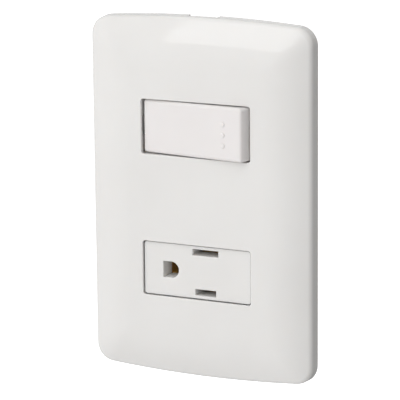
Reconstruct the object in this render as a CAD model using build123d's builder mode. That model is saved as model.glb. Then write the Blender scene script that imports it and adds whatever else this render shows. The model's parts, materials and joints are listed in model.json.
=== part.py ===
from build123d import *
import os
from math import cos, radians, sin, sqrt

# A wall plate with a rocker switch module above and a three-pin socket module below.
# The origin lies on the wall, midway between the two box screws. +X is right, +Z is up and
# +Y goes into the wall, so a height h in front of the wall is y = -h. Sizes in millimetres.

# Cover plate
plate_side_margin = 11.5
plate_end_margin = 5.9
plate_depth = 8.0
plate_wall = 2.0
side_draft = 2.9
border_width = 14.5
border_drop = 4.0
mitre_radius = 12.0
rim_radius = 2.0
corner_radius = 6.0
end_arc_radius = 405.0
window_lip = 1.0
window_radius = 0.9
window_edge_radius = 0.25
notch_width = 10.0
notch_depth = 2.0
rib_thickness = 1.2
rib_height = 1.6
rib_inset = 5.5

# Module faces and the clearances around them
face_width = 36.4
face_margin = 1.0
face_gap = 0.3
face_drop = 0.7
face_radius = 0.8
face_groove = 0.4
bezel_side_rim = 1.75
bezel_end_rim = 1.5
bezel_gap = 0.2
flange_side_rim = 0.95
flange_end_rim = 0.55
flange_thickness = 1.6
body_side_rim = 1.4
body_end_rim = 1.25
body_gap = 0.2
body_radius = 0.7
housing_wall = 1.5
lug_reach = 0.7
lug_width = 8.0
lug_height = 0.9
lug_gap = 0.1

# Mounting frame
frame_side_margin = 4.8
frame_end_margin = 9.35
frame_bar = 2.2
frame_thickness = 2.2
frame_radius = 4.0
frame_lip = 1.4
frame_lip_height = 1.4
screw_margin = 4.95
slot_length = 7.5
slot_width = 3.9

# Snap hooks of the cover plate
hook_z = 33.0
hook_width = 8.0
hook_arm = 1.4
hook_gap = 0.4
hook_bite = 0.9
hook_height = 0.7
hook_lift = 0.1

# Box screws
box_shank_radius = 1.75
box_neck_radius = 1.45
box_head_radius = 3.6
box_head_height = 2.2
box_screw_length = 25.0

# Rocker, which turns about a vertical axis
pivot_height = 2.0
rocker_tilt = 6.0
rocker_bulge = 0.4
rocker_proud = 0.7
rocker_skirt = 2.5
rocker_wall = 1.4
rocker_face = 1.6
rocker_edge_radius = 1.0
rocker_rib = 1.0
rocker_rib_depth = 2.6
pin_radius = 1.5
pin_length = 1.2
running_gap = 0.05
rocker_end_gap = 0.3
stop_gap = 0.25
dot_radius = 0.75
dot_height = 0.3
dot_edge_radius = 0.25
dot_pitch = 3.3
dot_inset = 6.4
dot_drop = 0.35

# Plunger and spring in the rocker
tube_radius = 2.7
tube_reach = 5.5
plunger_radius = 1.7
plunger_tip_radius = 1.2
plunger_top = 2.0
plunger_taper = 6.5
tip_reach = 11.0
spring_wire = 0.4
spring_radius = 1.2
spring_turns = 5.5
spring_end_gap = 0.05

# Contact lever and switch terminals
lever_tilt = 7.0
lever_thickness = 0.8
lever_width = 6.0
lever_overhang = 0.4
lever_right = 8.0
lever_gap = 0.25
knife_radius = 0.3
knife_drop = 0.9
tip_radius = 1.6
tip_thickness = 0.8
rivet_radius = 0.8
contact_gap = 0.2
strip_thickness = 1.0
strip_width = 5.0
bend_radius = 0.8
slot_gap = 0.35
strip_end_gap = 1.7
switch_end_wall = 3.0
switch_pocket_wall = 2.6

# Rear terminals of both modules
floor_thickness = 3.5
pocket_depth = 4.0
pocket_height = 7.6
pocket_reach = 4.3
plate_reach = 3.4
leg_reach = 3.8
clamp_size = 6.4
clamp_thickness = 1.0
terminal_shank_radius = 1.5
terminal_head_radius = 2.9
terminal_head_height = 1.7
terminal_screw_end_gap = 0.5
driver_slot_width = 0.8
driver_slot_depth = 0.8

# Socket holes and contacts
socket_face_thickness = 6.0
blade_x = 2.85
blade_pitch = 12.7
slot_thickness = 2.0
neutral_slot = 8.8
line_slot = 7.1
hole_edge_radius = 0.2
earth_pitch = 11.88
earth_width = 5.34
earth_height = 5.15
contact_sheet = 0.7
contact_drop = 0.25
contact_side_gap = 0.2
blade_mouth = 1.35
blade_pinch = 0.85
blade_root = 1.15
earth_mouth = 2.95
earth_pinch = 2.5
earth_root = 2.7
pinch_depth = 4.0
root_depth = 9.0
blade_leg_width = 3.2
blade_leg_offset = 0.2
blade_pocket_wall = 2.4
end_pocket_wall = 1.1
earth_pocket_wall = 1.0
partition_z = 3.8
partition_thickness = 0.9
partition_x = -3.4
partition_left_gap = 4.4
partition_right_gap = 2.9
partition_drop = 0.4

# Sizes that follow: from the socket's holes out to the plate
face_height = blade_pitch + slot_thickness + 2 * face_margin
window_width = face_width + 2 * face_gap
window_height = face_height + 2 * face_gap
bezel_width = window_width + 2 * bezel_side_rim
bezel_height = window_height + 2 * bezel_end_rim
flange_width = bezel_width + 2 * flange_side_rim
flange_height = bezel_height + 2 * flange_end_rim
body_width = window_width + 2 * body_side_rim
body_height = window_height + 2 * body_end_rim
frame_window_width = body_width + 2 * body_gap
frame_window_height = body_height + 2 * body_gap
module_pitch = frame_window_height + frame_bar
screw_pitch = 2 * (module_pitch + flange_height / 2 + screw_margin + box_head_radius)
frame_width = flange_width + 2 * frame_side_margin
frame_height = screw_pitch + 2 * frame_end_margin
plate_width = frame_width + 2 * plate_side_margin
plate_height = frame_height + 2 * plate_end_margin
rocker_radius = face_width / 2 + rocker_bulge
tip_offset = body_width / 2 - switch_end_wall - strip_end_gap - 2 * tip_radius
switch_terminal_x = body_width / 2 - switch_pocket_wall - pocket_reach
socket_terminal_x = body_width / 2 - blade_pocket_wall - pocket_reach
socket_terminal_z = body_height / 2 - end_pocket_wall - pocket_height / 2
earth_terminal_x = earth_pocket_wall + pocket_reach - body_width / 2

# Places that follow from the sizes above
switch_z = module_pitch
socket_z = -module_pitch
face_level = plate_depth - face_drop
lip_level = plate_depth - window_lip
bezel_top = lip_level - bezel_gap
flange_top = frame_thickness + flange_thickness
rocker_level = plate_depth + rocker_proud - pivot_height
rocker_end = sqrt(rocker_radius**2 - rocker_level**2)
skirt_end = sqrt(rocker_radius**2 - rocker_skirt**2)
stop_drop = skirt_end * sin(radians(rocker_tilt)) + rocker_skirt * cos(radians(rocker_tilt))
housing_split = pivot_height - stop_drop - stop_gap
lever_level = pivot_height - tip_reach - lever_gap - lever_thickness
tip_outer = tip_offset + tip_radius
lever_left = tip_outer + lever_overhang
closed_drop = tip_outer * sin(radians(lever_tilt)) + tip_thickness * cos(radians(lever_tilt))
fixed_tip_top = lever_level - closed_drop - contact_gap
cavity_floor = fixed_tip_top - tip_thickness - strip_thickness
terminal_seat = cavity_floor - floor_thickness
housing_back = terminal_seat - pocket_depth
face_underside = face_level - socket_face_thickness
contact_top = face_underside - contact_drop
neutral_z = socket_z + blade_pitch / 2
line_z = socket_z - blade_pitch / 2
earth_x = blade_x - earth_pitch
earth_left = earth_x - earth_width / 2


def facing(height):
    """Plane parallel to the wall that looks into the room, height in front of the wall."""
    return Plane.XZ.offset(height)


def slab(width, length, radius, low, high, centre=(0, 0), mode=Mode.ADD):
    """Block with rounded corners between two heights; centre gives its x and z."""
    with BuildSketch(facing(low)) as profile:
        with Locations(centre):
            RectangleRounded(width, length, radius)
    extrude(profile.sketch, amount=high - low, mode=mode)


def bar(left, right, bottom, top, low, high, mode=Mode.ADD):
    """Square-edged block from left to right, bottom to top and between two heights."""
    with BuildSketch(facing(low)) as profile:
        with Locations(((left + right) / 2, (bottom + top) / 2)):
            Rectangle(right - left, top - bottom)
    extrude(profile.sketch, amount=high - low, mode=mode)


def rod(radius, low, high, centre, mode=Mode.ADD):
    """Round bar between two heights; centre gives its x and z."""
    with BuildSketch(facing(low)) as profile:
        with Locations(centre):
            Circle(radius)
    extrude(profile.sketch, amount=high - low, mode=mode)


def bent_strip(points, width, z, thickness):
    """Bent metal strip: its side view follows points of (x, height); width is along z."""
    with BuildSketch(Plane.XY.offset(z)) as profile:
        with BuildLine():
            FilletPolyline(*[(x, -height) for x, height in points], radius=bend_radius)
        trace(line_width=thickness)
    extrude(profile.sketch, amount=width / 2, both=True)


def save(part, label):
    """Label a finished piece and write its file."""
    part.part.label = label
    export_step(part.part, "parts/" + label + ".step")


os.makedirs("parts", exist_ok=True)


# Cover plate: drafted sides and a border that falls in an arc from the flat middle
border_radius = (border_width**2 + border_drop**2) / (2 * border_drop)
border_margin = 1.0


def on_mitre(edge):
    """Whether an edge runs down from the flat middle to a corner, where two borders meet."""
    climb = abs((edge @ 0).Y - (edge @ 1).Y)
    return climb > border_drop / 2 and edge.center().Y < border_drop - plate_depth


def pillow_block(inset):
    """Solid with the plate's outline and pillowed front, set in by inset on every side."""
    half = plate_width / 2 - inset
    crown = plate_height / 2 - inset
    top = plate_depth - inset
    shoulder = crown - end_arc_radius + sqrt(end_arc_radius**2 - half**2)
    radius = border_radius - inset
    reach = border_width - inset + border_margin
    end_fall = radius - sqrt(radius**2 - reach**2)
    middle_fall = radius - sqrt(radius**2 - (reach / 2) ** 2)
    with BuildPart() as block:
        with BuildSketch(facing(0)) as outline:
            with BuildLine():
                Line((half, -shoulder), (half, shoulder))
                ThreePointArc((half, shoulder), (0, crown), (-half, shoulder))
                Line((-half, shoulder), (-half, -shoulder))
                ThreePointArc((-half, -shoulder), (0, -crown), (half, -shoulder))
            make_face()
            fillet(outline.vertices(), corner_radius - inset / 2)
        extrude(amount=top)
        sides = block.faces().filter_by(Axis.Y, reverse=True)
        draft(sides, facing(0), side_draft)
        for side in (-1, 1):
            # Long side: the border is a cylinder
            near = half + border_margin - reach
            with BuildSketch(Plane.XY):
                with BuildLine():
                    ThreePointArc(
                        (side * near, -top),
                        (side * (near + reach / 2), middle_fall - top),
                        (side * (near + reach), end_fall - top),
                    )
                    Polyline(
                        (side * (near + reach), end_fall - top),
                        (side * (near + reach), -top - border_margin),
                        (side * near, -top - border_margin),
                        (side * near, -top),
                    )
                make_face()
            extrude(amount=plate_height, both=True, mode=Mode.SUBTRACT)
            # Arched end: the border turns about the centre of the end's arc
            near = crown + border_margin - reach
            with BuildSketch(Plane.YZ):
                with BuildLine():
                    ThreePointArc(
                        (-top, side * near),
                        (middle_fall - top, side * (near + reach / 2)),
                        (end_fall - top, side * (near + reach)),
                    )
                    Polyline(
                        (end_fall - top, side * (near + reach)),
                        (-top - border_margin, side * (near + reach)),
                        (-top - border_margin, side * near),
                        (-top, side * near),
                    )
                make_face()
            arc_centre = (0, 0, side * (plate_height / 2 - end_arc_radius))
            revolve(axis=Axis(arc_centre, (0, 1, 0)), mode=Mode.SUBTRACT)
        fillet(block.edges().filter_by(on_mitre), mitre_radius - inset)
    return block.part


def on_rim(edge):
    """Whether an edge lies where the sides meet the pillow."""
    place = edge.center()
    beside = abs(place.X) > plate_width / 2 - corner_radius
    above = abs(place.Z) > plate_height / 2 - corner_radius
    return -plate_depth / 4 > place.Y > -plate_depth + border_drop / 4 and (beside or above)


outer_block = pillow_block(0)
inner_block = pillow_block(plate_wall)
hook_inner = frame_width / 2 + hook_gap
hook_outer = hook_inner + hook_arm
hook_top = plate_depth - plate_wall + window_lip / 2
barb_top = hook_lift + hook_height
window_places = ((0, switch_z), (0, socket_z))

with BuildPart() as cover_plate:
    add(outer_block)
    fillet(cover_plate.edges().filter_by(on_rim), rim_radius)
    add(inner_block, mode=Mode.SUBTRACT)
    # Ribs under the front, beside the modules and across the blank middle
    rib_level = plate_depth - plate_wall
    rib_x = bezel_width / 2 + bezel_gap + rib_thickness
    rib_z = module_pitch + bezel_height / 2
    for x in (-rib_x, rib_x):
        bar(x - rib_thickness / 2, x + rib_thickness / 2, -rib_z, rib_z,
            rib_level - rib_height, rib_level)
    for z in (-rib_inset, rib_inset):
        bar(-rib_x, rib_x, z - rib_thickness / 2, z + rib_thickness / 2,
            rib_level - rib_height, rib_level)
    # Snap hooks that grip the long edges of the mounting frame
    for z in (-hook_z, hook_z):
        with BuildSketch(Plane.XY.offset(z)):
            with BuildLine():
                Polyline(
                    (hook_outer, -hook_top),
                    (hook_inner, -hook_top),
                    (hook_inner, -barb_top),
                    (hook_inner - hook_gap - hook_bite, -barb_top),
                    (hook_inner, -hook_lift),
                    (hook_outer, -hook_lift),
                    close=True,
                )
            make_face()
            mirror(about=Plane.YZ)
        extrude(amount=hook_width / 2, both=True)
    # Windows, with a rebate behind each for the module's bezel
    for place in window_places:
        slab(bezel_width + 2 * bezel_gap, bezel_height + 2 * bezel_gap, body_radius + bezel_gap,
             0, lip_level, place, Mode.SUBTRACT)
        slab(window_width, window_height, window_radius, 0, plate_depth, place, Mode.SUBTRACT)
    front = cover_plate.faces().sort_by(Axis.Y)[0]
    fillet([edge for wire in front.inner_wires() for edge in wire.edges()], window_edge_radius)
    # Pry notch in the top edge
    bar(-notch_width / 2, notch_width / 2, plate_height / 2 - 2 * plate_wall, plate_height / 2,
        0, notch_depth, Mode.SUBTRACT)
save(cover_plate, "cover_plate")


# Mounting frame: a strap with three module windows, screwed to the wall box
ledge_width = hook_bite + hook_gap / 2

with BuildPart() as mounting_frame:
    slab(frame_width, frame_height, frame_radius, 0, frame_thickness)
    slab(frame_width, frame_height, frame_radius, frame_thickness,
         frame_thickness + frame_lip_height)
    slab(frame_width - 2 * frame_lip, frame_height - 2 * frame_lip, frame_radius - frame_lip,
         frame_thickness, frame_thickness + frame_lip_height, mode=Mode.SUBTRACT)
    for z in (-module_pitch, 0, module_pitch):
        slab(frame_window_width, frame_window_height, body_radius + body_gap,
             0, frame_thickness, (0, z), Mode.SUBTRACT)
    with BuildSketch(facing(0)):
        with Locations((0, -screw_pitch / 2), (0, screw_pitch / 2)):
            SlotOverall(slot_length, slot_width)
    extrude(amount=frame_thickness, mode=Mode.SUBTRACT)
    # Ledges that the plate's hooks catch behind
    for side in (-1, 1):
        for z in (-hook_z, hook_z):
            inner = side * (frame_width / 2 - ledge_width)
            outer = side * frame_width / 2
            bar(min(inner, outer), max(inner, outer), z - hook_width / 2 - hook_gap,
                z + hook_width / 2 + hook_gap, 0, barb_top + hook_lift / 2, Mode.SUBTRACT)
save(mounting_frame, "mounting_frame")


# Box screws: pan heads on the front of the frame, with a thinner neck through it
with BuildPart() as box_screws:
    for z in (-screw_pitch / 2, screw_pitch / 2):
        rod(box_shank_radius, frame_thickness - box_screw_length, 0, (0, z))
        rod(box_neck_radius, 0, frame_thickness, (0, z))
        with BuildSketch(Plane.YZ):
            with BuildLine():
                Line((-frame_thickness, z), (-frame_thickness, z + box_head_radius))
                ThreePointArc(
                    (-frame_thickness, z + box_head_radius),
                    (-frame_thickness - 0.75 * box_head_height, z + 0.8 * box_head_radius),
                    (-frame_thickness - box_head_height, z),
                )
                Line((-frame_thickness - box_head_height, z), (-frame_thickness, z))
            make_face()
        revolve(axis=Axis((0, 0, z), (0, 1, 0)))
        bar(-box_head_radius, box_head_radius, z - driver_slot_width / 2,
            z + driver_slot_width / 2, frame_thickness + box_head_height - driver_slot_depth,
            frame_thickness + box_head_height, Mode.SUBTRACT)
save(box_screws, "box_screws")


def module_shell(z):
    """Front of a module: bezel, flange on the frame, body through it and side lugs."""
    slab(bezel_width, bezel_height, body_radius, frame_thickness, bezel_top, (0, z))
    slab(flange_width, flange_height, body_radius, frame_thickness, flange_top, (0, z))
    slab(body_width, body_height, body_radius, housing_split, frame_thickness, (0, z))
    reach = body_width / 2 + lug_reach
    for side in (-1, 1):
        with BuildSketch(Plane.XY.offset(z)) as profile:
            with BuildLine():
                Polyline(
                    (side * (reach - 2 * lug_reach), lug_gap),
                    (side * reach, lug_gap),
                    (side * (body_width / 2), lug_gap + lug_height),
                    (side * (reach - 2 * lug_reach), lug_gap + lug_height),
                    close=True,
                )
            make_face()
        extrude(profile.sketch, amount=lug_width / 2, both=True)


# Switch frame: bezel and bearing of the rocker
rocker_room_x = rocker_radius + rocker_end_gap
rocker_room_z = face_height / 2 + face_gap
end_notch = 6.0

with BuildPart() as switch_frame:
    module_shell(switch_z)
    bar(-rocker_room_x, rocker_room_x, switch_z - rocker_room_z, switch_z + rocker_room_z,
        housing_split, bezel_top, Mode.SUBTRACT)
    bar(-bezel_width / 2, bezel_width / 2, switch_z - end_notch / 2, switch_z + end_notch / 2,
        flange_top, bezel_top, Mode.SUBTRACT)
    with BuildSketch(Plane.XY.offset(switch_z)):
        with Locations((0, -pivot_height)):
            Circle(pin_radius + running_gap)
    extrude(amount=flange_height / 2, both=True, mode=Mode.SUBTRACT)
save(switch_frame, "switch_frame")


# Rocker, drawn at its resting tilt: local x runs along it and local y into the wall
tilt = radians(-rocker_tilt)
along = Vector(cos(tilt), sin(tilt), 0)
inward = Vector(-sin(tilt), cos(tilt), 0)
pivot = Vector(0, -pivot_height, switch_z)
rocker_plane = Plane(origin=pivot, x_dir=along, z_dir=(0, 0, 1))


def down_tube(depth):
    """Plane square to the spring tube, depth behind the rocker's pivot."""
    return Plane(origin=pivot + inward * depth, x_dir=(0, 0, 1), z_dir=inward)


def rocker_profile(inset, level, skirt):
    """Side view of the rocker: flat face and two ends that are arcs about the pivot."""
    radius = rocker_radius - inset
    end = sqrt(radius**2 - level**2)
    foot = sqrt(radius**2 - skirt**2)
    with BuildSketch(rocker_plane) as profile:
        with BuildLine():
            Line((-end, -level), (end, -level))
            ThreePointArc((end, -level), (radius, 0), (foot, skirt))
            Line((foot, skirt), (-foot, skirt))
            ThreePointArc((-foot, skirt), (-radius, 0), (-end, -level))
        make_face()
    return profile.sketch


face_under = rocker_level - rocker_face
bore_radius = plunger_radius + running_gap
bore_top = face_under - rocker_wall / 2

with BuildPart() as rocker:
    extrude(rocker_profile(0, rocker_level, rocker_skirt), amount=face_height / 2, both=True)
    skirt_face = rocker.faces().sort_by(Axis.Y)[-1]
    skirt_edges = skirt_face.edges()
    fillet([edge for edge in rocker.edges() if edge not in skirt_edges], rocker_edge_radius)
    extrude(rocker_profile(rocker_wall, face_under, rocker_skirt),
            amount=face_height / 2 - rocker_wall, both=True, mode=Mode.SUBTRACT)
    # Rib, spring tube and stub pins
    with BuildSketch(rocker_plane):
        with Locations((0, -face_under + rocker_rib_depth / 2)):
            Rectangle(2 * (rocker_radius - rocker_wall), rocker_rib_depth)
    extrude(amount=rocker_rib / 2, both=True)
    with BuildSketch(down_tube(-face_under)):
        Circle(tube_radius)
    extrude(amount=face_under + tube_reach)
    with BuildSketch(down_tube(-bore_top)):
        Circle(bore_radius)
    extrude(amount=bore_top + tube_reach, mode=Mode.SUBTRACT)
    for side in (-1, 1):
        with BuildSketch(rocker_plane.offset(side * face_height / 2)):
            Circle(pin_radius)
        extrude(amount=side * pin_length)
    # Three raised dots near the end that stands out
    with BuildSketch(down_tube(-rocker_level)):
        with Locations(*[(k * dot_pitch - dot_drop, rocker_end - dot_inset) for k in (-1, 0, 1)]):
            Circle(dot_radius)
    extrude(amount=-dot_height)
    dot_tops = rocker.faces().sort_by(Axis(pivot, -inward))[-3:]
    fillet(dot_tops.edges(), dot_edge_radius)
save(rocker, "rocker")


# Plunger: slides in the tube, its round tip bears on the contact lever
with BuildPart() as rocker_plunger:
    with BuildSketch(rocker_plane):
        with BuildLine():
            Line((0, plunger_top), (plunger_radius, plunger_top))
            Line((plunger_radius, plunger_top), (plunger_radius, plunger_taper))
            Line((plunger_radius, plunger_taper), (plunger_tip_radius, tip_reach - plunger_tip_radius))
            RadiusArc((plunger_tip_radius, tip_reach - plunger_tip_radius), (0, tip_reach),
                      -plunger_tip_radius)
            Line((0, tip_reach), (0, plunger_top))
        make_face()
    revolve(axis=Axis(pivot, inward))
save(rocker_plunger, "rocker_plunger")


# Spring between the tube's end and the plunger
spring_start = -bore_top + spring_wire / 2 + spring_end_gap
spring_length = plunger_top - spring_wire / 2 - spring_end_gap - spring_start

with BuildPart() as rocker_spring:
    with BuildLine() as coil:
        Helix(pitch=spring_length / spring_turns, height=spring_length, radius=spring_radius,
              center=pivot + inward * spring_start, direction=inward)
    with BuildSketch(Plane(origin=coil.line @ 0, z_dir=coil.line % 0)):
        Circle(spring_wire / 2)
    sweep(path=coil.line, is_frenet=True)
save(rocker_spring, "rocker_spring")


# Contact lever, drawn at its resting tilt on the knife edge
lever_angle = radians(lever_tilt)
knife = Vector(0, -lever_level, switch_z)
lever_along = Vector(cos(lever_angle), sin(lever_angle), 0)
lever_inward = Vector(-sin(lever_angle), cos(lever_angle), 0)
lever_plane = Plane(origin=knife, x_dir=lever_along, z_dir=(0, 0, 1))


def across_lever(depth):
    """Plane along the lever, depth behind the knife edge, that looks into the wall."""
    return Plane(origin=knife + lever_inward * depth, x_dir=lever_along, z_dir=lever_inward)


with BuildPart() as contact_lever:
    with BuildSketch(lever_plane):
        with Locations(((lever_right - lever_left) / 2, -lever_thickness / 2)):
            Rectangle(lever_left + lever_right, lever_thickness)
        Circle(knife_radius + running_gap, mode=Mode.SUBTRACT)
    extrude(amount=lever_width / 2, both=True)
    fillet(contact_lever.edges().filter_by(Axis(knife, lever_inward)), lever_width / 4)
    with BuildSketch(across_lever(0)):
        with Locations((-tip_offset, 0)):
            Circle(rivet_radius + running_gap)
    extrude(amount=-lever_thickness, mode=Mode.SUBTRACT)
save(contact_lever, "contact_lever")

with BuildPart() as moving_contact_tip:
    with BuildSketch(across_lever(0)):
        with Locations((-tip_offset, 0)):
            Circle(tip_radius)
    extrude(amount=tip_thickness)
    with BuildSketch(across_lever(0)):
        with Locations((-tip_offset, 0)):
            Circle(rivet_radius)
    extrude(amount=-lever_thickness)
save(moving_contact_tip, "moving_contact_tip")


# Switch terminals: bent strips from the cavity through the floor to the rear pockets
foot_level = cavity_floor + strip_thickness / 2
seat_level = terminal_seat - strip_thickness / 2
leg_x = switch_terminal_x - leg_reach
strip_end = switch_terminal_x + plate_reach

with BuildPart() as pivot_terminal:
    bent_strip(((0, lever_level - knife_drop), (0, foot_level), (leg_x, foot_level),
                (leg_x, seat_level), (strip_end, seat_level)),
               strip_width, switch_z, strip_thickness)
    with BuildSketch(Plane.XY.offset(switch_z)):
        with Locations((0, -lever_level + knife_drop / 2)):
            Rectangle(2 * knife_radius, knife_drop)
        with Locations((0, -lever_level)):
            Circle(knife_radius)
    extrude(amount=strip_width / 2, both=True)
    rod(terminal_shank_radius + running_gap, terminal_seat - strip_thickness, terminal_seat,
        (switch_terminal_x, switch_z), Mode.SUBTRACT)
save(pivot_terminal, "pivot_terminal")

with BuildPart() as fixed_contact_terminal:
    bent_strip(((-tip_offset - 2 * tip_radius, foot_level), (-leg_x, foot_level),
                (-leg_x, seat_level), (-strip_end, seat_level)),
               strip_width, switch_z, strip_thickness)
    rod(terminal_shank_radius + running_gap, terminal_seat - strip_thickness, terminal_seat,
        (-switch_terminal_x, switch_z), Mode.SUBTRACT)
    rod(rivet_radius + running_gap, cavity_floor, cavity_floor + strip_thickness,
        (-tip_offset, switch_z), Mode.SUBTRACT)
save(fixed_contact_terminal, "fixed_contact_terminal")

with BuildPart() as fixed_contact_tip:
    rod(tip_radius, fixed_tip_top - tip_thickness, fixed_tip_top, (-tip_offset, switch_z))
    rod(rivet_radius, cavity_floor, fixed_tip_top, (-tip_offset, switch_z))
save(fixed_contact_tip, "fixed_contact_tip")


def terminal_pocket(x, z, leg, leg_width, leg_z, sheet):
    """Rear pocket for one terminal, the slot for its leg and the hole for its screw."""
    outward = 1 if x > 0 else -1
    near = leg - outward * (sheet / 2 + slot_gap)
    far = x + outward * pocket_reach
    bar(min(near, far), max(near, far), z - pocket_height / 2, z + pocket_height / 2,
        housing_back, terminal_seat, Mode.SUBTRACT)
    half = sheet / 2 + slot_gap
    bar(leg - half, leg + half, leg_z - leg_width / 2 - contact_side_gap,
        leg_z + leg_width / 2 + contact_side_gap, terminal_seat, cavity_floor, Mode.SUBTRACT)
    rod(terminal_shank_radius + running_gap, terminal_seat, cavity_floor, (x, z), Mode.SUBTRACT)


# Switch base: closed box behind the switch frame
with BuildPart() as switch_base:
    slab(body_width, body_height, body_radius, housing_back, housing_split, (0, switch_z))
    slab(body_width - 2 * switch_end_wall, body_height - 2 * housing_wall, body_radius,
         cavity_floor, housing_split, (0, switch_z), Mode.SUBTRACT)
    for side in (-1, 1):
        terminal_pocket(side * switch_terminal_x, switch_z, side * leg_x, strip_width, switch_z,
                        strip_thickness)
save(switch_base, "switch_base")


def terminal_screw(x, z, sheet):
    """Rear terminal screw: its head bears on the clamp plate, its shank goes into the floor."""
    bearing = terminal_seat - sheet - clamp_thickness
    rod(terminal_shank_radius, bearing, cavity_floor - terminal_screw_end_gap, (x, z))
    rod(terminal_head_radius, bearing - terminal_head_height, bearing, (x, z))
    bar(x - terminal_head_radius, x + terminal_head_radius, z - driver_slot_width / 2,
        z + driver_slot_width / 2, bearing - terminal_head_height,
        bearing - terminal_head_height + driver_slot_depth, Mode.SUBTRACT)


def clamp_plate(x, z, sheet):
    """Square washer under a terminal screw's head."""
    low = terminal_seat - sheet - clamp_thickness
    slab(clamp_size, clamp_size, body_radius, low, low + clamp_thickness, (x, z))
    rod(terminal_shank_radius + running_gap, low, low + clamp_thickness, (x, z), Mode.SUBTRACT)


with BuildPart() as switch_terminal_screws:
    for side in (-1, 1):
        terminal_screw(side * switch_terminal_x, switch_z, strip_thickness)
save(switch_terminal_screws, "switch_terminal_screws")

with BuildPart() as switch_clamp_plates:
    for side in (-1, 1):
        clamp_plate(side * switch_terminal_x, switch_z, strip_thickness)
save(switch_clamp_plates, "switch_clamp_plates")


# Socket face: two blade slots and an earth hole, flat on the side away from the blades
with BuildPart() as socket_face:
    module_shell(socket_z)
    # The face stands in a groove of the bezel
    slab(window_width + 2 * face_groove, window_height + 2 * face_groove,
         window_radius + face_groove, flange_top, bezel_top, (0, socket_z), Mode.SUBTRACT)
    slab(face_width, face_height, face_radius, frame_thickness, face_level, (0, socket_z))
    outer_face = socket_face.faces().sort_by(Axis.Y)[0]
    fillet(outer_face.outer_wire().edges(), window_edge_radius)
    slab(body_width - 2 * housing_wall, body_height - 2 * housing_wall, body_radius,
         housing_split, face_underside, (0, socket_z), Mode.SUBTRACT)
    with BuildSketch(facing(face_underside)):
        with Locations((blade_x, neutral_z)):
            Rectangle(neutral_slot, slot_thickness)
        with Locations((blade_x, line_z)):
            Rectangle(line_slot, slot_thickness)
        flat_part = earth_width - earth_height / 2
        with Locations((earth_left + flat_part / 2, socket_z)):
            Rectangle(flat_part, earth_height)
        with Locations((earth_left + flat_part, socket_z)):
            Circle(earth_height / 2)
    extrude(amount=socket_face_thickness, mode=Mode.SUBTRACT)
    outer_face = socket_face.faces().sort_by(Axis.Y)[0]
    fillet([edge for wire in outer_face.inner_wires() for edge in wire.edges()],
           hole_edge_radius)
save(socket_face, "socket_face")


# Socket contacts: folded brass jaws with a flared mouth, each with its own terminal leg
def jaw(centre_z, mouth, pinch, root, left, right):
    """Jaw of two leaves that meet at the cavity floor, from left to right in x."""
    top = -contact_top + contact_sheet / 2
    floor = -cavity_floor - contact_sheet / 2
    with BuildSketch(Plane.YZ.offset(left)) as profile:
        with BuildLine():
            FilletPolyline(
                (top, centre_z + mouth),
                (top + pinch_depth, centre_z + pinch),
                (top + root_depth, centre_z + root),
                (floor, centre_z + root),
                (floor, centre_z - root),
                (top + root_depth, centre_z - root),
                (top + pinch_depth, centre_z - pinch),
                (top, centre_z - mouth),
                radius=bend_radius,
            )
        trace(line_width=contact_sheet)
    extrude(profile.sketch, amount=right - left)


def rear_leg(start_x, terminal_x, terminal_z, leg_z, leg_width):
    """Strip along the cavity floor and through it, with a plate under the clamp."""
    outward = 1 if terminal_x > 0 else -1
    leg = terminal_x - outward * leg_reach
    floor = cavity_floor + contact_sheet / 2
    seat = terminal_seat - contact_sheet / 2
    end = terminal_x + outward * plate_reach
    bent_strip(((start_x, floor), (leg, floor), (leg, seat), (end, seat)),
               leg_width, leg_z, contact_sheet)
    inner = leg + outward * bend_radius
    bar(min(inner, end), max(inner, end), terminal_z - clamp_size / 2,
        terminal_z + clamp_size / 2, terminal_seat - contact_sheet, terminal_seat)
    rod(terminal_shank_radius + running_gap, terminal_seat - contact_sheet, terminal_seat,
        (terminal_x, terminal_z), Mode.SUBTRACT)


neutral_terminal_z = socket_z + socket_terminal_z
line_terminal_z = socket_z - socket_terminal_z

with BuildPart() as neutral_contact:
    half = neutral_slot / 2 - contact_side_gap
    jaw(neutral_z, blade_mouth, blade_pinch, blade_root, blade_x - half, blade_x + half)
    rear_leg(blade_x, socket_terminal_x, neutral_terminal_z, neutral_z - blade_leg_offset,
             blade_leg_width)
save(neutral_contact, "neutral_contact")

with BuildPart() as line_contact:
    half = line_slot / 2 - contact_side_gap
    jaw(line_z, blade_mouth, blade_pinch, blade_root, blade_x - half, blade_x + half)
    rear_leg(blade_x, socket_terminal_x, line_terminal_z, line_z + blade_leg_offset,
             blade_leg_width)
save(line_contact, "line_contact")

with BuildPart() as earth_contact:
    jaw(socket_z, earth_mouth, earth_pinch, earth_root, earth_left - contact_sheet,
        earth_left + earth_width)
    bar(earth_left - contact_sheet, earth_left - contact_sheet / 10,
        socket_z - earth_pinch, socket_z + earth_pinch, cavity_floor, contact_top)
    rear_leg(earth_x, earth_terminal_x, socket_z, socket_z, strip_width)
save(earth_contact, "earth_contact")


# Socket base: box with partitions between the three contacts
partition_top = face_underside - partition_drop
socket_leg_x = socket_terminal_x - leg_reach
earth_leg_x = earth_terminal_x + leg_reach
socket_cavity_x = body_width / 2 - housing_wall
partition_left = partition_left_gap - socket_cavity_x
partition_right = socket_cavity_x - partition_right_gap

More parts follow.
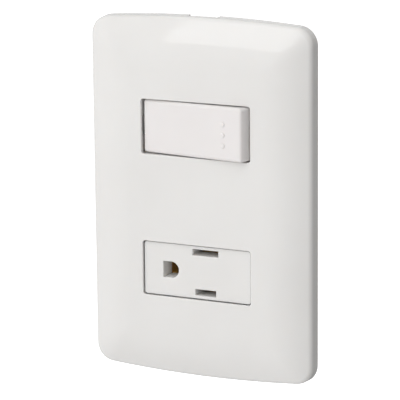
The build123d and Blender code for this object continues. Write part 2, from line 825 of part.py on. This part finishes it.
with BuildPart() as socket_base:
    slab(body_width, body_height, body_radius, housing_back, housing_split, (0, socket_z))
    slab(body_width - 2 * housing_wall, body_height - 2 * housing_wall, body_radius,
         cavity_floor, housing_split, (0, socket_z), Mode.SUBTRACT)
    for z in (socket_z - partition_z, socket_z + partition_z):
        bar(partition_left, partition_right, z - partition_thickness / 2,
            z + partition_thickness / 2, cavity_floor, partition_top)
    bar(partition_x - partition_thickness / 2, partition_x + partition_thickness / 2,
        socket_z - partition_z, socket_z + partition_z, cavity_floor, partition_top)
    terminal_pocket(socket_terminal_x, neutral_terminal_z, socket_leg_x, blade_leg_width,
                    neutral_z - blade_leg_offset, contact_sheet)
    terminal_pocket(socket_terminal_x, line_terminal_z, socket_leg_x, blade_leg_width,
                    line_z + blade_leg_offset, contact_sheet)
    terminal_pocket(earth_terminal_x, socket_z, earth_leg_x, strip_width, socket_z,
                    contact_sheet)
save(socket_base, "socket_base")

socket_terminals = (
    (socket_terminal_x, neutral_terminal_z),
    (socket_terminal_x, line_terminal_z),
    (earth_terminal_x, socket_z),
)

with BuildPart() as socket_terminal_screws:
    for x, z in socket_terminals:
        terminal_screw(x, z, contact_sheet)
save(socket_terminal_screws, "socket_terminal_screws")

with BuildPart() as socket_clamp_plates:
    for x, z in socket_terminals:
        clamp_plate(x, z, contact_sheet)
save(socket_clamp_plates, "socket_clamp_plates")
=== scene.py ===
import json
from math import cos, pi, radians, sin

import bmesh
import bpy
from mathutils import Matrix, Vector


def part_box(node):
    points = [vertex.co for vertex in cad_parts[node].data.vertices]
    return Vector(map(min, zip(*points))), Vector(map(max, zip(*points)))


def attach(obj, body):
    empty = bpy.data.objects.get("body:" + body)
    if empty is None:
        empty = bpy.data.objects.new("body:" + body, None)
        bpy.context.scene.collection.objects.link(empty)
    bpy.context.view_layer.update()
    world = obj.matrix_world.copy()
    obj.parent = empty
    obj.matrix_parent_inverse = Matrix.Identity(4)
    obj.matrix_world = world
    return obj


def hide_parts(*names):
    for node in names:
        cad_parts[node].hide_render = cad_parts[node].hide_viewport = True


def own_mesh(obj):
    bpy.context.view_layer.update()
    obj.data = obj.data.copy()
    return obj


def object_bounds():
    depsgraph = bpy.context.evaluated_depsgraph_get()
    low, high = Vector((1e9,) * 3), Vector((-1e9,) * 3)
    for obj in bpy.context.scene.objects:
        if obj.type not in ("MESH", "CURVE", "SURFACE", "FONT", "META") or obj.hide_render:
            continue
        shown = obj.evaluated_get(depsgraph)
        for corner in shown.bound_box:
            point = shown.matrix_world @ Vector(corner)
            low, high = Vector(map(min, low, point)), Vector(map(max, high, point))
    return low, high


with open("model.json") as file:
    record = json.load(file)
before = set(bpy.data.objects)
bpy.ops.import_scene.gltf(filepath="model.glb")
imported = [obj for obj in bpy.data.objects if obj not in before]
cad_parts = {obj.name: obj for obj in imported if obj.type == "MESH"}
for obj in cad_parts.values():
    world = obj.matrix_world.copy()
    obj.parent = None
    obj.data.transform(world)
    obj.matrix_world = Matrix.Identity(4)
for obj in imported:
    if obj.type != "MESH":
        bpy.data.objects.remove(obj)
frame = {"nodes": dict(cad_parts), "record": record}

cad_box = [list(corner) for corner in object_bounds()]
nodes = frame["nodes"]
mm = 0.001

# Camera, from the socket's standard sizes as the photograph shows them
camera_lens = 233.96
camera_sensor = 36
camera_yaw = radians(26.071)
camera_pitch = radians(12.568)
camera_roll = radians(-0.533)
camera_target = Vector((-2.352, 0.0, -1.112)) * mm
camera_distance = 0.80625

# Stage
floor_drop = 0.25
floor_size = 12.0
floor_shade = 0.85
floor_glow = 1.0
dome_radius = 4.0
dome_facets = 4
dome_shade = 0.0
dome_glow = 1.1
stage_roughness = 0.9

# Room light, which grows towards room_side and is nowhere less than room_least
room_light = 0.39
room_slope = 0.593
room_side = (-0.42, -0.75, -0.55)
room_least = 0.12

# Lights: azimuth and elevation in degrees, width, height and radiance
light_distance = 1.2
lights = {
    "key": (-13, 43.3, 0.7, 1.16, 2.6),
    "top": (0, 88, 1.3, 1.3, 0.6),
    "back": (125, 47, 1.2, 1.2, 0.8),
    "backdrop": (195, 12, 1.3, 0.6, 0.6),
}

# Colours, dark and light
white = ((0.800, 0.788, 0.772), (0.816, 0.805, 0.789))
rocker_white = ((0.82, 0.793, 0.784), (0.836, 0.809, 0.8))
frame_white = ((0.7, 0.69, 0.67), (0.73, 0.72, 0.7))
base_white = ((0.74, 0.73, 0.71), (0.78, 0.77, 0.75))
plunger_white = ((0.74, 0.72, 0.68), (0.78, 0.76, 0.72))
zinc = ((0.56, 0.57, 0.58), (0.68, 0.69, 0.7))
steel = ((0.5, 0.5, 0.5), (0.62, 0.62, 0.62))
copper = ((0.6, 0.3, 0.17), (0.72, 0.4, 0.25))
brass = ((0.58, 0.4, 0.16), (0.72, 0.52, 0.24))
bright_brass = ((0.84, 0.62, 0.24), (0.94, 0.72, 0.32))
silver = ((0.74, 0.73, 0.71), (0.84, 0.83, 0.81))

# Plastic: features per metre of its flow marks, gloss clouds and grain, and how light enters it
flow_scale = 45
cloud_scale = 160
grain_scale = 4200
grain_strength = 0.6
plastic_ior = 1.5
plastic_specular = 0.3
scatter_share = 0.6
scatter_radius = (1.0, 0.95, 0.9)
smooth_grain = 1e-6
plunger_grain = 4e-6
matte_grain = 8e-6

# Metal: features per metre of its tarnish and rolling streaks
tarnish_scale = 420
streak_scale = 2600
streak_strength = 0.5
streak_depth = 1.5e-6
even = (1, 1, 1)
along_x = (12, 1, 1)
along_z = (1, 1, 12)

# Screws
box_head = 3.6 * mm
box_shank = 1.75 * mm
box_pitch = 0.8 * mm
box_seat = -2.2 * mm
terminal_head = 2.9 * mm
terminal_shank = 1.5 * mm
terminal_pitch = 0.6 * mm
terminal_head_height = 1.7 * mm
screw_spacing = frame["record"]["mounts"][0]["dims"]["spacing_y_mm"] * mm

# Places of the terminal screws, as x and z
switch_z = 22.4 * mm
socket_z = -switch_z
switch_terminals = ((13.0 * mm, switch_z), (-13.0 * mm, switch_z))
socket_terminals = (
    (13.2 * mm, socket_z + 5.0 * mm),
    (13.2 * mm, socket_z - 5.0 * mm),
    (-14.6 * mm, socket_z),
)

# Form of a screw, as shares of its head's radius, head's height, shank and pitch
head_dome = 0.3
slot_half_width = 0.14
cross_half_length = 0.6
recess_depth = 0.45
neck_share = 0.82
tip_share = 0.6
thread_depth = 0.5
head_rings = 16
rings_per_turn = 6
screw_segments = 48
sharp_edge = radians(30)


def place_camera():
    """Looks from the right and from above, with the photograph's small roll."""
    back = Vector((sin(camera_yaw) * cos(camera_pitch), -cos(camera_yaw) * cos(camera_pitch),
                   sin(camera_pitch)))
    level = Vector((cos(camera_yaw), sin(camera_yaw), 0))
    upright = back.cross(level)
    right = cos(camera_roll) * level + sin(camera_roll) * upright
    up = cos(camera_roll) * upright - sin(camera_roll) * level
    data = bpy.data.cameras.new("camera")
    data.lens = camera_lens
    data.sensor_width = camera_sensor
    camera = bpy.data.objects.new("camera", data)
    turn = Matrix((right, up, back)).transposed().to_4x4()
    camera.matrix_world = Matrix.Translation(camera_target + back * camera_distance) @ turn
    bpy.context.scene.collection.objects.link(camera)
    bpy.context.scene.camera = camera


def new_material(name):
    """Principled node material; returns the material, its nodes, its links and its shader."""
    made = bpy.data.materials.new(name)
    made.use_nodes = True
    tree = made.node_tree
    tree.nodes.clear()
    output = tree.nodes.new("ShaderNodeOutputMaterial")
    shader = tree.nodes.new("ShaderNodeBsdfPrincipled")
    tree.links.new(shader.outputs["BSDF"], output.inputs["Surface"])
    return made, tree.nodes, tree.links, shader


def noise(tree_nodes, links, scale, detail, stretch=None):
    """Noise in the object's own coordinates; scale is features per metre."""
    place = tree_nodes.new("ShaderNodeTexCoord")
    spots = tree_nodes.new("ShaderNodeTexNoise")
    spots.inputs["Scale"].default_value = scale
    spots.inputs["Detail"].default_value = detail
    if stretch is None:
        links.new(place.outputs["Object"], spots.inputs["Vector"])
        return spots
    mapping = tree_nodes.new("ShaderNodeMapping")
    mapping.inputs["Scale"].default_value = stretch
    links.new(place.outputs["Object"], mapping.inputs["Vector"])
    links.new(mapping.outputs["Vector"], spots.inputs["Vector"])
    return spots


def ramp(tree_nodes, links, source, low, high, start=0.35, end=0.65):
    """Maps a noise factor to a range of values."""
    spread = tree_nodes.new("ShaderNodeMapRange")
    spread.inputs["From Min"].default_value = start
    spread.inputs["From Max"].default_value = end
    spread.inputs["To Min"].default_value = low
    spread.inputs["To Max"].default_value = high
    links.new(source.outputs[0], spread.inputs["Value"])
    return spread.outputs["Result"]


def tint(tree_nodes, links, source, shades, start=0.35, end=0.65):
    """Maps a noise factor to a mix of a dark and a light colour."""
    colors = tree_nodes.new("ShaderNodeValToRGB")
    for element, position, shade in zip(colors.color_ramp.elements, (start, end), shades):
        element.position = position
        element.color = (*shade, 1)
    links.new(source.outputs[0], colors.inputs["Fac"])
    return colors.outputs["Color"]


def relief(tree_nodes, links, source, shader, strength, distance):
    """Fine bumps that follow a noise factor."""
    bump = tree_nodes.new("ShaderNodeBump")
    bump.inputs["Strength"].default_value = strength
    bump.inputs["Distance"].default_value = distance
    links.new(source.outputs[0], bump.inputs["Height"])
    links.new(bump.outputs["Normal"], shader.inputs["Normal"])


def plastic(name, shades, rough, grain_depth, scatter_depth=0.8 * mm):
    """Moulded plastic: faint flow marks in colour and gloss, and a fine spark-eroded grain."""
    made, tree_nodes, links, shader = new_material(name)
    shader.inputs["IOR"].default_value = plastic_ior
    shader.inputs["Specular IOR Level"].default_value = plastic_specular
    shader.inputs["Subsurface Weight"].default_value = scatter_share
    shader.inputs["Subsurface Radius"].default_value = scatter_radius
    shader.inputs["Subsurface Scale"].default_value = scatter_depth
    flow = noise(tree_nodes, links, flow_scale, 3)
    links.new(tint(tree_nodes, links, flow, shades), shader.inputs["Base Color"])
    cloud = noise(tree_nodes, links, cloud_scale, 4)
    links.new(ramp(tree_nodes, links, cloud, 0.8 * rough, 1.2 * rough), shader.inputs["Roughness"])
    grain = noise(tree_nodes, links, grain_scale, 3)
    relief(tree_nodes, links, grain, shader, grain_strength, grain_depth)
    return made


def metal(name, shades, rough, streak=even):
    """Rolled or plated metal: blotches of tarnish, rolling streaks and fine scratches."""
    made, tree_nodes, links, shader = new_material(name)
    shader.inputs["Metallic"].default_value = 1.0
    tarnish = noise(tree_nodes, links, tarnish_scale, 5)
    links.new(tint(tree_nodes, links, tarnish, shades), shader.inputs["Base Color"])
    lines = noise(tree_nodes, links, streak_scale, 2, streak)
    links.new(ramp(tree_nodes, links, lines, rough - 0.07, rough + 0.1), shader.inputs["Roughness"])
    relief(tree_nodes, links, lines, shader, streak_strength, streak_depth)
    return made


def dress(material, *names):
    """Gives CAD nodes their finish."""
    for name in names:
        mesh = nodes[name].data
        mesh.materials.clear()
        mesh.materials.append(material)


def add_stage(name, mesh, shade, glow):
    """Plain glowing stage object that only the camera sees, so that it throws no light on the part."""
    material, _, _, shader = new_material(name)
    shader.inputs["Base Color"].default_value = (shade, shade, shade, 1)
    shader.inputs["Roughness"].default_value = stage_roughness
    shader.inputs["Emission Color"].default_value = (1, 1, 1, 1)
    shader.inputs["Emission Strength"].default_value = glow
    mesh.materials.append(material)
    stage = bpy.data.objects.new(name, mesh)
    bpy.context.scene.collection.objects.link(stage)
    stage.visible_diffuse = False
    stage.visible_glossy = False
    stage.visible_transmission = False
    stage.visible_shadow = False


def build_stage():
    """Pale floor under the part and a white dome round it."""
    low = cad_box[0][2] - floor_drop
    half = floor_size / 2
    corners = [(-half, -half, low), (half, -half, low), (half, half, low), (-half, half, low)]
    floor = bpy.data.meshes.new("floor")
    floor.from_pydata(corners, [], [(0, 1, 2, 3)])
    add_stage("floor", floor, floor_shade, floor_glow)
    dome = bpy.data.meshes.new("dome")
    shape = bmesh.new()
    bmesh.ops.create_icosphere(shape, subdivisions=dome_facets, radius=dome_radius)
    shape.to_mesh(dome)
    shape.free()
    add_stage("dome", dome, dome_shade, dome_glow)


def softbox(name, azimuth, elevation, width, height, radiance):
    """Rectangular light that faces the part; azimuth 0 is in front of it."""
    back = Vector((sin(azimuth) * cos(elevation), -cos(azimuth) * cos(elevation), sin(elevation)))
    data = bpy.data.lights.new(name, "AREA")
    data.shape = "RECTANGLE"
    data.size = width
    data.size_y = height
    data.energy = radiance * pi * width * height
    lamp = bpy.data.objects.new(name, data)
    lamp.location = back * light_distance
    lamp.rotation_mode = "QUATERNION"
    lamp.rotation_quaternion = (-back).to_track_quat("-Z", "Y")
    lamp.visible_camera = False
    bpy.context.scene.collection.objects.link(lamp)


def light_room():
    """Room light that is brightest low in front of the part, on its left."""
    world = bpy.data.worlds.new("studio")
    world.use_nodes = True
    tree_nodes, links = world.node_tree.nodes, world.node_tree.links
    direction = tree_nodes.new("ShaderNodeTexCoord")
    side = tree_nodes.new("ShaderNodeVectorMath")
    side.operation = "DOT_PRODUCT"
    side.inputs[1].default_value = room_side
    slope = tree_nodes.new("ShaderNodeMath")
    slope.operation = "MULTIPLY_ADD"
    slope.inputs[1].default_value = room_slope
    slope.inputs[2].default_value = room_light
    least = tree_nodes.new("ShaderNodeMath")
    least.operation = "MAXIMUM"
    least.inputs[1].default_value = room_least
    background = tree_nodes["Background"]
    background.inputs["Color"].default_value = (1, 1, 1, 1)
    links.new(direction.outputs["Generated"], side.inputs[0])
    links.new(side.outputs["Value"], slope.inputs[0])
    links.new(slope.outputs[0], least.inputs[0])
    links.new(least.outputs[0], background.inputs["Strength"])
    bpy.context.scene.world = world


def light_studio():
    """Room light, a key light, a light over the part and two lights behind it."""
    light_room()
    for name, (azimuth, elevation, width, height, radiance) in lights.items():
        softbox(name, radians(azimuth), radians(elevation), width, height, radiance)


def screw_rings(crown, seat, tip, head_radius, shank_radius, pitch):
    """Radius, level along y and thread depth of each ring of a screw, from its crown to its tip."""
    way = 1 if crown > seat else -1
    dome = head_dome * abs(crown - seat)
    shares = [k / head_rings for k in range(1, head_rings + 1)]
    rings = [(head_radius * share, crown - way * dome * share ** 3, 0) for share in shares]
    rings += [(head_radius, seat, 0), (neck_share * shank_radius, seat, 0)]
    turns = int(abs(seat - tip) / pitch) - 1
    rings += [(shank_radius, seat - way * pitch * (1 + k / rings_per_turn), thread_depth * pitch)
              for k in range(rings_per_turn * turns - rings_per_turn // 2)]
    rings += [(tip_share * shank_radius, tip, 0)]
    return rings


def screw(name, place, crown, seat, tip, head_radius, shank_radius, pitch, material):
    """Screw along y with a slotted cross-recess head from crown to seat and a thread to its tip."""
    way = 1 if crown > seat else -1
    recess = recess_depth * abs(crown - seat)
    half_width = slot_half_width * head_radius
    half_length = cross_half_length * head_radius
    shape = bmesh.new()
    rows = []
    for radius, level, depth in screw_rings(crown, seat, tip, head_radius, shank_radius, pitch):
        row = []
        for k in range(screw_segments):
            angle = 2 * pi * k / screw_segments
            turn = (level / pitch + k / screw_segments) % 1
            reach = radius - depth * abs(2 * turn - 1)
            x, z = reach * cos(angle), reach * sin(angle)
            on_slot = abs(z) < half_width
            on_cross = abs(x) < half_width and abs(z) < half_length
            sunk = recess if way * (level - seat) > 0 and (on_slot or on_cross) else 0
            row.append(shape.verts.new((place[0] + x, level - way * sunk, place[1] + z)))
        rows.append(row)
    for row, after in zip(rows, rows[1:]):
        for k in range(screw_segments):
            shape.faces.new((row[k - 1], row[k], after[k], after[k - 1]))
    shape.faces.new(rows[0])
    shape.faces.new(rows[-1])
    bmesh.ops.recalc_face_normals(shape, faces=shape.faces)
    mesh = bpy.data.meshes.new(name)
    shape.to_mesh(mesh)
    shape.free()
    mesh.shade_smooth()
    mesh.set_sharp_from_angle(angle=sharp_edge)
    mesh.materials.append(material)
    piece = bpy.data.objects.new(name, mesh)
    bpy.context.scene.collection.objects.link(piece)
    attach(piece, "wall_unit")
    return piece


def build_screws(material):
    """Threaded screws that stand for the plain ones."""
    low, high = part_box("box_screws")
    for side, word in ((-1, "lower"), (1, "upper")):
        place = (0, side * screw_spacing / 2)
        piece = screw("box_screw_" + word, place, low[1], box_seat, high[1],
                      box_head, box_shank, box_pitch, material)
        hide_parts("box_screws")
    for node, places in (("switch_terminal_screws", switch_terminals),
                         ("socket_terminal_screws", socket_terminals)):
        low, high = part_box(node)
        for letter, place in zip("abc", places):
            piece = screw(node[:-1] + "_" + letter, place, high[1], high[1] - terminal_head_height,
                          low[1], terminal_head, terminal_shank, terminal_pitch, material)
            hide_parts(node)


def build_spring(material):
    """Coil spring in spring wire, copied from the plain one, that moves with the rocker."""
    plain = nodes["rocker_spring"]
    piece = bpy.data.objects.new("coil_spring", plain.data.copy())
    piece.matrix_world = plain.matrix_world.copy()
    piece.data.materials.clear()
    piece.data.materials.append(material)
    bpy.context.scene.collection.objects.link(piece)
    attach(piece, "rocker")
    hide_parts("rocker_spring")
    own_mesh(piece)


def finish_plastics():
    """Semi-gloss plastic on the faces that show, and matte plastic behind them."""
    dress(plastic("plate_plastic", white, 0.03, smooth_grain, 0.4 * mm), "cover_plate")
    dress(plastic("module_plastic", white, 0.12, smooth_grain, 1.6 * mm), "switch_frame", "socket_face")
    dress(plastic("rocker_plastic", rocker_white, 0.2, smooth_grain, 0.3 * mm), "rocker")
    dress(plastic("frame_plastic", frame_white, 0.5, matte_grain), "mounting_frame")
    dress(plastic("base_plastic", base_white, 0.5, matte_grain), "switch_base", "socket_base")
    dress(plastic("plunger_plastic", plunger_white, 0.4, plunger_grain), "rocker_plunger")


def finish_metals():
    """Zinc, spring steel, copper, brass and silver."""
    zinc_plate = metal("zinc_plate", zinc, 0.3)
    dress(zinc_plate, "switch_clamp_plates", "socket_clamp_plates")
    build_screws(zinc_plate)
    build_spring(metal("spring_wire", steel, 0.28))
    dress(metal("copper_strip", copper, 0.32, along_z), "contact_lever")
    dress(metal("terminal_metal", brass, 0.3, along_z), "pivot_terminal", "fixed_contact_terminal")
    dress(metal("contact_metal", bright_brass, 0.55, along_x),
          "line_contact", "neutral_contact", "earth_contact")
    dress(metal("silver_metal", silver, 0.25), "moving_contact_tip", "fixed_contact_tip")


place_camera()
bpy.context.scene.view_settings.view_transform = "Standard"
build_stage()
light_studio()
finish_plastics()
finish_metals()
